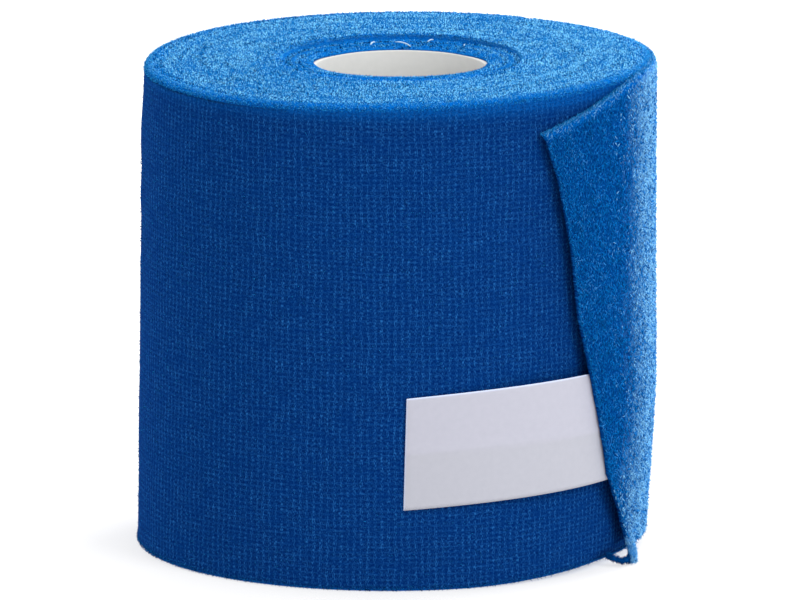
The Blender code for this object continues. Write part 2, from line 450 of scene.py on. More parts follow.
def felted(tree, cloth_colour):
    """Colour and height where the cloth turns into the felt of its cut edge, by the edge attribute.

    First it turns in tufts to the clear blue of the rounded rim, then to the felt that the fuzz stands on.
    """
    place = add(tree, "ShaderNodeTexCoord", {}, {}).outputs["Object"]
    edge = add(tree, "ShaderNodeAttribute", {"attribute_name": "edge"}, {}).outputs["Fac"]
    grain = add(tree, "ShaderNodeTexNoise", {}, {"Vector": place, "Scale": 1 / TUFT, "Detail": 2})
    tufts = add(
        tree,
        "ShaderNodeMapRange",
        {},
        {"Value": grain.outputs["Fac"], "From Min": 0.38, "From Max": 0.62},
    )
    felt = add(
        tree,
        "ShaderNodeMix",
        {"data_type": "RGBA"},
        {"Factor": tufts.outputs[0], 6: linear("#044488"), 7: linear("#1670b8")},
    )
    tufted = add(
        tree, "ShaderNodeMath", {"operation": "MULTIPLY_ADD"}, {0: tufts.outputs[0], 1: 1.4, 2: 0.6}
    )
    nearer = add(tree, "ShaderNodeMath", {"operation": "MULTIPLY"}, {0: edge, 1: tufted.outputs[0]})
    rimward = add(tree, "ShaderNodeMapRange", {}, {"Value": nearer.outputs[0], "From Max": 0.6})
    topward = add(tree, "ShaderNodeMapRange", {}, {"Value": edge, "From Min": 0.5})
    rim = add(
        tree,
        "ShaderNodeMix",
        {"data_type": "RGBA"},
        {"Factor": rimward.outputs[0], 6: cloth_colour, 7: linear("#0262ba")},
    )
    colour = add(
        tree,
        "ShaderNodeMix",
        {"data_type": "RGBA"},
        {"Factor": topward.outputs[0], 6: rim.outputs[2], 7: felt.outputs[2]},
    )
    return colour.outputs[2], grain.outputs["Fac"], edge


def wound_crepe():
    """Cohesive crepe, wound tight: latex-coated gauze pressed flat, with felted cut edges at the two ends.

    The side shows a fine dull lattice of threads with painted highlight strokes, and the ends a paler,
    brighter felt.
    """
    material, tree, output = new_material("wound cohesive crepe")
    cloth = add(tree, "ShaderNodeUVMap", {"uv_map": "cloth"}, {}).outputs["UV"]
    side, relief = pressed_gauze(tree, cloth)
    colour, grain, edge = felted(tree, side)
    height = add(tree, "ShaderNodeMix", {"data_type": "FLOAT"}, {"Factor": edge, 2: relief, 3: grain})
    bumped = add(
        tree, "ShaderNodeBump", {}, {"Height": height.outputs[0], "Strength": 0.8, "Distance": 0.08 * MM}
    )
    shader = add(
        tree,
        "ShaderNodeBsdfPrincipled",
        {},
        {
            "Base Color": colour,
            "Roughness": 0.9,
            "Specular IOR Level": 0.0,
            "Sheen Weight": 0.035,
            "Sheen Roughness": 0.3,
            "Sheen Tint": linear("#7088f0"),
            "Normal": bumped.outputs[0],
        },
    )
    tree.links.new(shader.outputs[0], output.inputs[0])
    return material


def slack_crepe():
    """Cohesive crepe, slack: crinkled gauze with painted shade in its crease valleys, painted highlights on
    their tips and a painted sheen, pale where its short upright creases are seen edge on.

    Towards the parting it is pressed flat again, as the rest of the winding is. Its cut edges don't pale.
    """
    material, tree, output = new_material("slack cohesive crepe")
    cloth = add(tree, "ShaderNodeUVMap", {"uv_map": "cloth"}, {}).outputs["UV"]
    slack = add(tree, "ShaderNodeAttribute", {"attribute_name": "slack"}, {}).outputs["Fac"]
    pressed, relief = pressed_gauze(tree, cloth)
    drawn_out = add(tree, "ShaderNodeVectorMath", {"operation": "DIVIDE"}, {0: cloth, 1: CREASES})
    creases = add(
        tree,
        "ShaderNodeTexNoise",
        {},
        {"Vector": drawn_out.outputs[0], "Scale": 1, "Detail": 3, "Roughness": 0.6},
    )
    height = add(
        tree, "ShaderNodeMix", {"data_type": "FLOAT"}, {"Factor": slack, 2: relief, 3: creases.outputs["Fac"]}
    )
    bumped = add(
        tree, "ShaderNodeBump", {}, {"Height": height.outputs[0], "Strength": 1.0, "Distance": 0.4 * MM}
    )
    crinkle = add(
        tree,
        "ShaderNodeMapRange",
        {},
        {"Value": creases.outputs["Fac"], "From Min": 0.36, "From Max": 0.66},
    )
    tips = add(
        tree,
        "ShaderNodeMapRange",
        {},
        {"Value": creases.outputs["Fac"], "From Min": 0.56, "From Max": 0.72},
    )
    # Painted sheen: pale where the outer face is seen at a grazing angle, more on the crinkles
    seen = add(tree, "ShaderNodeLayerWeight", {}, {"Blend": 0.5})
    turned = add(
        tree,
        "ShaderNodeMapRange",
        {"interpolation_type": "SMOOTHSTEP"},
        {"Value": seen.outputs["Facing"], "From Min": 0.5, "From Max": 0.86},
    )
    place = add(tree, "ShaderNodeTexCoord", {}, {})
    across = add(
        tree, "ShaderNodeVectorMath", {"operation": "MULTIPLY"}, {0: place.outputs["Object"], 1: (1, 1, 0)}
    )
    outward = add(tree, "ShaderNodeVectorMath", {"operation": "NORMALIZE"}, {0: across.outputs[0]})
    facing = add(
        tree,
        "ShaderNodeVectorMath",
        {"operation": "DOT_PRODUCT"},
        {0: outward.outputs[0], 1: place.outputs["Normal"]},
    )
    face = add(
        tree, "ShaderNodeMapRange", {}, {"Value": facing.outputs["Value"], "From Min": 0.5, "From Max": 0.8}
    )
    caught = add(
        tree, "ShaderNodeMath", {"operation": "MULTIPLY_ADD"}, {0: crinkle.outputs[0], 1: 0.85, 2: 0.15}
    )
    turned_face = add(
        tree, "ShaderNodeMath", {"operation": "MULTIPLY"}, {0: turned.outputs[0], 1: face.outputs[0]}
    )
    painted_sheen = add(
        tree, "ShaderNodeMath", {"operation": "MULTIPLY"}, {0: turned_face.outputs[0], 1: caught.outputs[0]}
    )
    # Painted shade in the crease valleys and painted highlight on their tips, by the creases' height
    crease_shaded = add(
        tree,
        "ShaderNodeMix",
        {"data_type": "RGBA"},
        {"Factor": crinkle.outputs[0], 6: linear("#002a66"), 7: linear("#044a92")},
    )
    tipped = add(
        tree,
        "ShaderNodeMix",
        {"data_type": "RGBA"},
        {"Factor": tips.outputs[0], 6: crease_shaded.outputs[2], 7: linear("#1c74bc")},
    )
    with_painted_sheen = add(
        tree,
        "ShaderNodeMix",
        {"data_type": "RGBA"},
        {"Factor": painted_sheen.outputs[0], 6: tipped.outputs[2], 7: linear("#7cbce4")},
    )
    ground = add(
        tree, "ShaderNodeMix", {"data_type": "RGBA"}, {"Factor": slack, 6: pressed, 7: with_painted_sheen.outputs[2]}
    )
    colour, _, _ = felted(tree, ground.outputs[2])
    shader = add(
        tree,
        "ShaderNodeBsdfPrincipled",
        {},
        {"Base Color": colour, "Roughness": 0.9, "Specular IOR Level": 0.0, "Normal": bumped.outputs[0]},
    )
    tree.links.new(shader.outputs[0], output.inputs[0])
    return material


def loose_fibre(name, dark, clear, pale):
    """Loose latex-coated fibres of the same cloth, each finer than a thread and so of one tone.

    Their tone runs from dark through the cloth's clear blue to pale. It differs at random, and in places the
    pieces set it darker for painted shade and paler for painted light.
    """
    material, tree, output = new_material(name)
    tone = add(tree, "ShaderNodeAttribute", {"attribute_name": "tone"}, {}).outputs["Fac"]
    clearing = add(tree, "ShaderNodeMapRange", {}, {"Value": tone, "From Max": 0.5})
    paling = add(tree, "ShaderNodeMapRange", {}, {"Value": tone, "From Min": 0.5})
    cleared = add(
        tree,
        "ShaderNodeMix",
        {"data_type": "RGBA"},
        {"Factor": clearing.outputs[0], 6: linear(dark), 7: linear(clear)},
    )
    colour = add(
        tree,
        "ShaderNodeMix",
        {"data_type": "RGBA"},
        {"Factor": paling.outputs[0], 6: cleared.outputs[2], 7: linear(pale)},
    )
    fibre = add(
        tree,
        "ShaderNodeBsdfPrincipled",
        {},
        {"Base Color": colour.outputs[2], "Roughness": 0.9, "Specular IOR Level": 0.0},
    )
    tree.links.new(fibre.outputs[0], output.inputs[0])
    return material


def elastic_thread():
    """Bare white elastic threads, which run through the crepe and show where they were cut."""
    material, tree, output = new_material("white elastic thread")
    place = add(tree, "ShaderNodeTexCoord", {}, {}).outputs["Object"]
    twist = add(tree, "ShaderNodeTexNoise", {}, {"Vector": place, "Scale": 1 / THREAD_TWIST})
    colour = add(
        tree,
        "ShaderNodeMix",
        {"data_type": "RGBA"},
        {"Factor": twist.outputs["Fac"], 6: linear("#84b4d0"), 7: linear("#d8e6ee")},
    )
    thread = add(tree, "ShaderNodeBsdfPrincipled", {}, {"Base Color": colour.outputs[2], "Roughness": 0.6})
    tree.links.new(thread.outputs[0], output.inputs[0])
    return material


def tab_paper():
    """Thin white paper, dull satin, a little mottled; painted shade below its fold; cut edges paler, partly a
    painted highlight.
    """
    material, tree, output = new_material("white tab paper")
    cloth = add(tree, "ShaderNodeUVMap", {"uv_map": "cloth"}, {}).outputs["UV"]
    below = add(tree, "ShaderNodeAttribute", {"attribute_name": "below"}, {}).outputs["Fac"]
    cut = add(tree, "ShaderNodeAttribute", {"attribute_name": "cut"}, {}).outputs["Fac"]
    fibres = add(tree, "ShaderNodeTexNoise", {}, {"Vector": cloth, "Scale": 1 / TAB_FIBRES, "Detail": 3})
    upper = add(
        tree,
        "ShaderNodeMix",
        {"data_type": "RGBA"},
        {"Factor": fibres.outputs["Fac"], 6: linear("#a9a9b6"), 7: linear("#b1b1bd")},
    )
    # Painted shade: below the fold the paper is multiplied a shade darker and warmer
    folded = add(
        tree,
        "ShaderNodeMix",
        {"data_type": "RGBA", "blend_type": "MULTIPLY"},
        {"Factor": below, 6: upper.outputs[2], 7: linear("#fafbf8")},
    )
    # The top and left cut edges are paler: partly the cut paper, partly a painted highlight
    colour = add(
        tree,
        "ShaderNodeMix",
        {"data_type": "RGBA"},
        {"Factor": cut, 6: folded.outputs[2], 7: linear("#c8d4f0")},
    )
    bumped = add(
        tree, "ShaderNodeBump", {}, {"Height": fibres.outputs["Fac"], "Strength": 0.3, "Distance": 0.05 * MM}
    )
    paper = add(
        tree,
        "ShaderNodeBsdfPrincipled",
        {},
        {"Base Color": colour.outputs[2], "Roughness": 0.65, "Normal": bumped.outputs[0]},
    )
    tree.links.new(paper.outputs[0], output.inputs[0])
    return material


def core_paper():
    """Grey-white core paper: a smooth dull wall, very faintly clouded by its pulp."""
    material, tree, output = new_material("off-white core paper")
    cloth = add(tree, "ShaderNodeUVMap", {"uv_map": "cloth"}, {}).outputs["UV"]
    pulp = add(tree, "ShaderNodeTexNoise", {}, {"Vector": cloth, "Scale": 1 / CORE_PULP, "Detail": 4})
    colour = add(
        tree,
        "ShaderNodeMix",
        {"data_type": "RGBA"},
        {"Factor": pulp.outputs["Fac"], 6: linear("#c0c1bf"), 7: linear("#cbcbc9")},
    )
    paper = add(tree, "ShaderNodeBsdfPrincipled", {}, {"Base Color": colour.outputs[2], "Roughness": 0.7})
    tree.links.new(paper.outputs[0], output.inputs[0])
    return material


def make_wound_roll(material):
    """Loft round the core of the roll's section: foot, side, rounded rim, felted top, slipped turns, bore.

    Each station of the section is a radius and a height at every angle. The side has three faint dents round
    it, the top rises and falls a little from turn to turn, and the slipped turns stand in ridges. At the
    front and the sides the first turns lean in over the core's rim.
    """
    angle = PARTING + np.linspace(0, 360 - PARTING_STEP, 480)
    around = (angle - PARTING) / 360
    bore = CORE_BORE + CORE_WALL + GAP
    foot = winding_radius(angle, FOOT_ROUNDING)
    rim = winding_radius(angle, CLOTH_WIDTH)
    slipped = slipped_turns(angle)
    radii, heights, run, edges = [], [], [], []

    def station(radius, height, up, edge):
        """One ring of the loft, with its place up the cloth's map and how felted it is."""
        radii.append(np.broadcast_to(radius, angle.shape))
        heights.append(np.broadcast_to(height, angle.shape))
        run.append(up)
        edges.append(np.broadcast_to(edge, angle.shape))

    for share in np.linspace(0, 1, 8):
        radius = bore + share * (0.9 * ROLL_RADIUS - bore)
        station(radius, foot_height(angle, radius), -0.026 + 0.024 * share, 1)
    for turn in np.radians((0, 30, 60, 90)):
        radius = foot - FOOT_ROUNDING * (1 - np.sin(turn))
        height = foot_height(angle, foot) + FOOT_ROUNDING * (1 - np.cos(turn))
        station(radius, height, -0.001 + 0.001 * turn, (1 - turn / np.radians(90)) ** 2)
    for height in np.concatenate([np.linspace(1.4, 12, 8), np.linspace(14, 76.5, 32), [77.7, 78.6]]) * MM:
        dented = sum(
            depth * MM * np.exp(-(((height / MM - middle) / half) ** 2)) for middle, half, depth in DENTS
        )
        lumps = 0.06 * MM * mottle(around, height / CLOTH_WIDTH, (48, 14), 3)
        edge = 0.12 * smooth((height - 77 * MM) / (2 * MM))
        station(winding_radius(angle, height) - dented + lumps, height, height, edge)
    for turn in np.radians((0, 15, 30, 45, 60, 75, 90)):
        radius = rim - RIM_ROUNDING * (1 - np.cos(turn))
        height = rim_height(angle, rim) - RIM_ROUNDING * (1 - np.sin(turn))
        edge = 0.12 + 0.48 * smooth(turn / np.radians(90))
        station(radius, height, CLOTH_WIDTH + RIM_ROUNDING * turn, edge)
    outer = rim - RIM_ROUNDING
    for share in np.linspace(0, 1, 18)[1:]:
        radius = outer + share * (slipped + 0.15 * MM - outer)
        height = rim_height(angle, radius) + 0.08 * MM * mottle(around, share, (60, 10), 5)
        edge = np.clip(0.6 + 5 * share, 0, 1) - 0.45 * (share > 0.99)
        station(radius, height, CLOTH_WIDTH + share * 0.022 + 0.002, edge)
    inner = slipped - 0.15 * MM
    for share in np.linspace(0, 1, 14):
        radius = inner + share * (bore - inner)
        ridge = 0.2 * MM * np.sin(np.pi * 5 * share + np.pi * around) * (1 - share)
        height = rim_height(angle, radius) + ridge + 0.1 * MM * mottle(around, share, (90, 4), 7)
        edge = 0.75 + 1.2 * ridge / MM - 0.3 * (share < 0.01)
        station(radius, height, CLOTH_WIDTH + 0.0245 + share * 0.004, edge)
    lip = inner_lip(angle)
    lip_height = np.maximum(rim_height(angle, bore) - 0.1 * MM, CORE_LEVEL + 0.12 * MM)
    station(lip, lip_height, CLOTH_WIDTH + 0.029, 0.85)
    station(lip, CORE_LEVEL + 0.05 * MM, CLOTH_WIDTH + 0.03, 0.7)
    station(bore, CORE_LEVEL + 0.04 * MM, CLOTH_WIDTH + 0.031, 0.7)
    for height in (0.6, 0.2):
        station(bore, height * CLOTH_WIDTH, 0.112, 1)

    radii = np.array(radii)
    heights = np.array(heights)
    points = on_roll(angle[None, :], radii, heights)
    along = np.broadcast_to(np.radians(angle) * ROLL_RADIUS, radii.shape)
    up = np.broadcast_to(np.array(run)[:, None], radii.shape)
    faces = [grid_faces(*radii.shape, True, True)]
    return mesh_piece(
        "wound_roll_cloth",
        points,
        faces,
        material,
        np.stack([along, up], axis=-1),
        {"edge": np.array(edges)},
    )


def loose_end_sheet(share, up):
    """Angle, radius and height on the loose end, by shares of its length from the cut edge and of its rise.

    Its radius is the roll's, and the lift that the cut edge has, eased out backwards. Slow waves are added to
    it, its top edge turns in a little, and its lowest corner flares out as a tail. Last comes how far below
    the top edge each point is.
    """
    edge_height, edge_angle, edge_lift = np.array(CUT_EDGE).T
    top_angle, top_drop = np.array(TOP_EDGE).T
    behind, bottom_height = np.array(BOTTOM_EDGE).T
    back = PARTING + 6
    width = back - edge_angle[0]
    upper_angle = edge_angle[-1] + share * (back - edge_angle[-1])
    upper = rim_height(upper_angle, ROLL_RADIUS) - MM * np.interp(upper_angle, top_angle, top_drop)
    lower = MM * np.interp(share * width, behind, bottom_height)
    height = lower + up * (upper - lower)
    cut = np.interp(height / MM, edge_height, edge_angle)
    lift = MM * np.interp(height / MM, edge_height, edge_lift)
    angle = cut + share * (back - cut)
    lifted = lift * smooth((FREE - angle) / (FREE - cut))
    low = np.clip(1 - height / TAIL_HEIGHT, 0, 1)
    tail = TAIL_FLARE * low**2 * np.exp(-((share * width / TAIL_REACH) ** 2))
    slack = smooth((PARTING - angle) / 45)
    waves = 0.12 * MM * mottle(angle / 360, height / CLOTH_WIDTH, (40, 9), 13) * slack
    turned_in = 0.45 * MM * smooth((height - upper + 0.9 * MM) / (0.9 * MM))
    sunk = 0.5 * MM * smooth((angle - PARTING + 2) / 7)
    radius = wall_radius(np.minimum(angle, PARTING - 0.01), height) + GAP + SHEET + lifted + tail + waves
    return angle, radius - turned_in - sunk, height, upper - height


def painted_light_share(angle, height):
    """Share of the loose end's threads painted pale as light, rising by angle towards its right side, and
    from further forward low down.

    Its start is ragged, by eased noise.
    """
    patches = mottle(angle / 360, height / CLOTH_WIDTH, (150, 34), 54)
    return smooth((angle - 53 + 5 * patches + 15 * smooth((20 * MM - height) / (15 * MM))) / 24)


def make_loose_end(material):
    """Crepe sheet from its cut edge back to the parting, a grid over its length and rise, thickened inwards.

    Fine creases, noise that eases out where the cloth is pressed flat, are added to the sheet's radius.
    """
    share = np.concatenate([np.linspace(0, 0.06, 9), np.linspace(0.068, 1, 112)])[None, :]
    rise = np.concatenate([np.linspace(0, 0.1, 16), np.linspace(0.11, 0.985, 96), [0.99, 0.994, 0.997, 1]])
    angle, radius, height, below = loose_end_sheet(share, rise[:, None])
    slack = smooth((PARTING - angle) / 45)
    creases = 0.08 * MM * mottle(angle / 360, height / CLOTH_WIDTH, (420, 80), 11)
    edge = 0.3 * smooth((1.4 * MM - below) / (1.2 * MM)) * np.ones_like(angle)
    maps = np.stack([np.radians(angle) * ROLL_RADIUS, height], axis=-1)
    piece = mesh_piece(
        "loose_end_cloth",
        on_roll(angle, radius + slack * creases, height),
        [grid_faces(*angle.shape, False, False)],
        material,
        maps,
        {"edge": edge, "slack": slack},
    )
    thickness = piece.modifiers.new("thickness", "SOLIDIFY")
    thickness.thickness = CREPE
    thickness.offset = -1
    return piece


def make_closure_tab(material):
    """Paper strip bent round the roll, as a grid of shares of its length and width, thickened inwards.

    It lifts off towards the loose end, as far as that end's cut edge does, and eases down again behind it. It
    is folded very slightly along its middle, its upper and left edges are turned over a hair's breadth, and
    its left end is cut aslant.
    """
    share = np.concatenate([[0, 0.004, 0.008], np.linspace(0.02, 1, 58)])
    across = np.concatenate([np.linspace(-0.5, 0.48, 30), [0.488, 0.495, 0.5]])[:, None]
    start = TAB_START - 0.3 + 0.7 * across
    angle = start + share * (TAB_END - start)
    rise = TAB_RISE * (1 - (1 - share) ** 2)
    lowered = (0.25 * (1 - share) ** 3 + 0.5 * share**2) * MM * smooth(2 * across)
    height = TAB_HEIGHT + rise + across * TAB_WIDTH - lowered
    fold = TAB_HEIGHT + rise + (0.3 - 0.9 * share) * MM
    crease = 0.1 * MM * np.exp(-(((height - fold) / (0.6 * MM)) ** 2))
    lifted = 1.35 * MM * smooth(1.15 * share) * (1 - 0.2 * across) * (1 - 0.5 * smooth(10 * share - 8.8))
    turned = 0.16 * MM * np.maximum(smooth((across - 0.48) / 0.02), smooth(1 - share / 0.008))
    radius = wall_radius(angle, height) + GAP + 0.35 * MM + lifted + crease - turned
    maps = np.stack(np.broadcast_arrays(np.radians(angle) * ROLL_RADIUS, height), axis=-1)
    # Masks for the painted shade below the fold and for the cut edges, paler partly as painted highlight
    below = smooth((fold - height) / (0.8 * MM))
    cut = np.maximum(smooth((across - 0.485) / 0.01), smooth(1 - share / 0.006)) * np.ones_like(angle)
    piece = mesh_piece(
        "closure_tab_paper",
        on_roll(angle, radius, height),
        [grid_faces(*height.shape, False, False)],
        material,
        maps,
        {"below": below, "cut": cut},
    )
    thickness = piece.modifiers.new("thickness", "SOLIDIFY")
    thickness.thickness = PAPER
    thickness.offset = -1
    return piece


def make_core_tube(material):
    """Paper tube turned about the core's axis, its rim slightly rounded, as a closed ring of stations."""
    columns = 192
    angle = np.linspace(0, 360, columns, endpoint=False)
    top = CORE_LEVEL
    ease = 0.15 * MM
    outer = CORE_BORE + CORE_WALL
    outline = (
        (outer, CORE_FOOT),
        (outer, top / 2),
        (outer, top - ease),
        (outer - ease, top),
        (CORE_BORE + ease, top),
        (CORE_BORE, top - ease),
        (CORE_BORE, 0.9 * top),
        (CORE_BORE, top / 2),
        (CORE_BORE, CORE_FOOT),
    )
    radii, heights = (np.array(column)[:, None] for column in zip(*outline))
    points = on_roll(angle[None, :], radii, heights)
    run = np.cumsum(np.hypot(np.diff(radii[:, 0], prepend=outer), np.diff(heights[:, 0], prepend=CORE_FOOT)))
    maps = np.stack(np.broadcast_arrays(np.radians(angle)[None, :] * CORE_BORE, run[:, None]), axis=-1)
    piece = mesh_piece(
        "core_tube_paper", points, [grid_faces(len(outline), columns, True, True)], material, maps
    )
    piece.data.set_sharp_from_angle(angle=np.radians(50))
    return piece


def make_fuzz(name, roots, facing, spread, lengths, widths, tones, seed, material):
    """Fibres in one mesh, each a closed three-sided spike that leans at random from the way its root faces.

    The lean is normal noise of the given spread on each axis. lengths and widths are ranges in millimetres.
    Real fibres are a few hundredths of a millimetre thick, too fine to show, so each spike stands for
    several.
    """
    rng = np.random.default_rng(seed)
    count = len(roots)
    ways = facing + spread * rng.normal(0, 1, (count, 3))
    ways /= np.linalg.norm(ways, axis=1, keepdims=True)
    tips = roots + ways * rng.uniform(*lengths, (count, 1)) * MM
    helper = np.where(np.abs(ways[:, 2:]) < 0.8, ((0.0, 0.0, 1.0),), ((1.0, 0.0, 0.0),))
    first = np.cross(ways, helper)
    first /= np.linalg.norm(first, axis=1, keepdims=True)
    second = np.cross(ways, first)
    turns = np.radians((0, 120, 240))[None, :, None]
    ring = np.cos(turns) * first[:, None] + np.sin(turns) * second[:, None]
    base = roots[:, None] + ring * rng.uniform(*widths, (count, 1, 1)) * MM / 2
    points = np.concatenate([base, tips[:, None]], axis=1)
    spike = np.array([(0, 1, 3), (1, 2, 3), (2, 0, 3), (2, 1, 0)])
    faces = [(4 * np.arange(count)[:, None, None] + spike).reshape(-1, 3)]
    return mesh_piece(name, points, faces, material, None, {"tone": np.repeat(tones, 4)})


def make_top_fuzz(name, count, seed, material):
    """Fibres standing on the felted top, evenly spread over its area, and painted dark as shade where the
    slipped turns start.

    Their tones are random, drift along the turns in long arcs, by eased noise over angle and radius, and fall
    off towards the rim, to the left and on the slipped turns. Behind, outside the slipped turns, they are
    paler:
    painted light.
    """
    rng = np.random.default_rng(seed)
    angle = rng.uniform(-180, 180, count)
    rim = winding_radius(angle, CLOTH_WIDTH) - 0.25 * MM
    lip = inner_lip(angle)
    slipped = slipped_turns(angle)
    radius = np.sqrt(rng.uniform(lip**2, rim**2))
    rounded = np.clip((radius - rim + RIM_ROUNDING) / RIM_ROUNDING, 0, 1)
    height = rim_height(angle, radius) - 0.1 * MM - 0.45 * RIM_ROUNDING * rounded**2
    arcs = mottle(angle / 360, (radius - lip) / (rim - lip), (14, 44), 31)
    behind = (1 - np.cos(np.radians(angle))) / 2
    # Painted shade on the step down to the slipped turns at the back
    step = smooth(1 - np.abs(radius - slipped + 0.3 * MM) / (0.9 * MM)) * behind
    rimward = smooth(1 - (rim - radius) / (3.2 * MM))
    tones = 0.03 + 0.98 * smooth(rng.uniform(0, 1, count)) + 0.22 * arcs - 0.25 * step - 0.3 * rimward
    tones -= 0.08 * smooth(-np.sin(np.radians(angle))) * (radius > slipped)
    # Painted light: paler towards the back, outside the slipped turns
    tones += 0.1 * behind * smooth((radius - slipped) / (8 * MM)) - 0.22 * (radius < slipped)
    roots = on_roll(angle, radius, height)
    facing = outwards(angle, 0.6 * rounded, 1 - 0.4 * rounded)
    return make_fuzz(name, roots, facing, 0.8, (0.22, 0.45), (0.14, 0.26), tones, seed + 100, material)


def make_edge_fuzz(name, material):
    """Fibres that stand off the rounded rim, foot and side, and off the loose end's top and cut edges.

    Rim and foot are quarter rounds, and each fibre faces as its spot on them does. Tones rise round the rim.
    """
    rng = np.random.default_rng(41)
    roots, facing, tones = [], [], []

    def sow(angle, radius, height, out, up, tone):
        """Adds roots at these places, facing out and up by these shares, with tones about this one."""
        roots.append(on_roll(angle, radius, height))
        facing.append(outwards(angle, out, up))
        tones.append(tone + rng.uniform(-0.2, 0.2, len(angle)))

    angle = rng.uniform(-180, 180, RIM_FIBRES)
    turn = np.radians(rng.uniform(10, 90, RIM_FIBRES))
    out, up = np.cos(turn), np.sin(turn)
    radius = winding_radius(angle, CLOTH_WIDTH)
    height = rim_height(angle, radius) - RIM_ROUNDING * (1 - up)
    sow(angle, radius - RIM_ROUNDING * (1 - out), height, out, up, 0.28 + 0.26 * up)
    angle = rng.uniform(-180, 180, FOOT_FIBRES)
    radius = winding_radius(angle, FOOT_ROUNDING)
    height = foot_height(angle, radius) + rng.uniform(0.1, 1.0, FOOT_FIBRES) * MM
    sow(angle, radius - 0.1 * MM, height, 1, 0.0, 0.1)
    angle = rng.uniform(-200, 35, SIDE_FIBRES)
    height = rng.uniform(1, 79, SIDE_FIBRES) * MM
    sow(angle, winding_radius(angle, height) - 0.05 * MM, height, 1, 0.4, 0.1)
    angle, radius, height, _ = loose_end_sheet(rng.uniform(0, 1, LOOSE_TOP_FIBRES) ** 1.5, 1.0)
    radius = radius - CREPE * rng.uniform(-0.1, 1.6, LOOSE_TOP_FIBRES)
    sow(angle, radius, height - 0.15 * MM, 0.5, 1, 0.35)
    angle, radius, height, _ = loose_end_sheet(0.002, rng.uniform(0, 1, LOOSE_CUT_FIBRES))
    sow(angle, radius - CREPE * rng.uniform(0, 0.9, LOOSE_CUT_FIBRES), height, 1, 0.2, 0.3)
    angle = rng.uniform(90, 270, SLIPPED_FIBRES)
    height = rim_height(angle, slipped_turns(angle) + 0.2 * MM)
    height = height - rng.uniform(0.1, 0.9, SLIPPED_FIBRES) * MM
    sow(angle, slipped_turns(angle) + 0.1 * MM, height, -1, 0.5, 0.5)
    roots, facing, tones = (np.concatenate(part) for part in (roots, facing, tones))
    return make_fuzz(name, roots, facing, 0.7, (0.18, 0.5), (0.08, 0.16), tones, 42, material)


def make_nap(name, count, material):
    """Crinkled threads that stand out on the loose end, where it isn't pressed flat, most of them upright.

    They are spread over its length and rise, rather more of them near the cut edge. Their tones drift in
    clumps, by eased noise, and towards the right side more of them are pale: painted light. Some more stand
    up from its top edge and about the threads of its tail.
    """
    rng = np.random.default_rng(51)
    share = rng.uniform(0, 1, count) ** 1.25
    angle, radius, height, below = loose_end_sheet(share, rng.uniform(0, 1, count))
    clumps = mottle(angle / 360, height / CLOTH_WIDTH, (220, 50), 52)
    # Painted light: more threads get pale tones towards the loose end's right side
    standing = rng.uniform(0, 1, count) < painted_light_share(angle, height) * (0.6 + 0.3 * clumps)
    tones = 0.14 + 0.4 * smooth(rng.uniform(0, 1, count)) + 0.1 * clumps
    tones += 0.5 * standing + 0.3 * smooth((1.3 * MM - below) / MM)
    facing = [outwards(angle, 0.5, rng.choice((-1.0, 1.0), count))]
    roots = [on_roll(angle, radius - 0.08 * MM, height)]
    angle, radius, height, _ = loose_end_sheet(rng.uniform(0, 1, NAP_TUFTS) ** 1.3, 1.0)
    roots.append(on_roll(angle, radius - CREPE * rng.uniform(0, 0.9, NAP_TUFTS), height - 0.3 * MM))
    facing.append(outwards(angle, 0.6, 1.0))
    tones = np.append(tones, 0.45 + rng.uniform(-0.4, 0.4, NAP_TUFTS))
    for width, tone, route in TAIL_THREADS:
        knots = np.array(route)
        at = rng.uniform(0, len(knots) - 1, TAIL_FIBRES)
        angle, radius, height = (np.interp(at, np.arange(len(knots)), column) for column in knots.T)
        turn = rng.uniform(0, 2 * np.pi, TAIL_FIBRES)
        angle += np.degrees(0.4 * width * np.cos(turn) / radius)
        roots.append(on_roll(angle, (radius + 0.4 * width * np.sin(turn)) * MM, height * MM))
        facing.append(outwards(angle, 0.3, rng.choice((-1.0, 1.0), TAIL_FIBRES)))
        # The loop's low tone darkens its fibres as painted shade
        tones = np.append(tones, 1.3 * tone + rng.uniform(-0.35, 0.35, TAIL_FIBRES) * (0.1 + tone))
    roots, facing = np.concatenate(roots), np.concatenate(facing)
    return make_fuzz(name, roots, facing, 0.4, (0.35, 0.85), (0.18, 0.32), tones, 53, material)


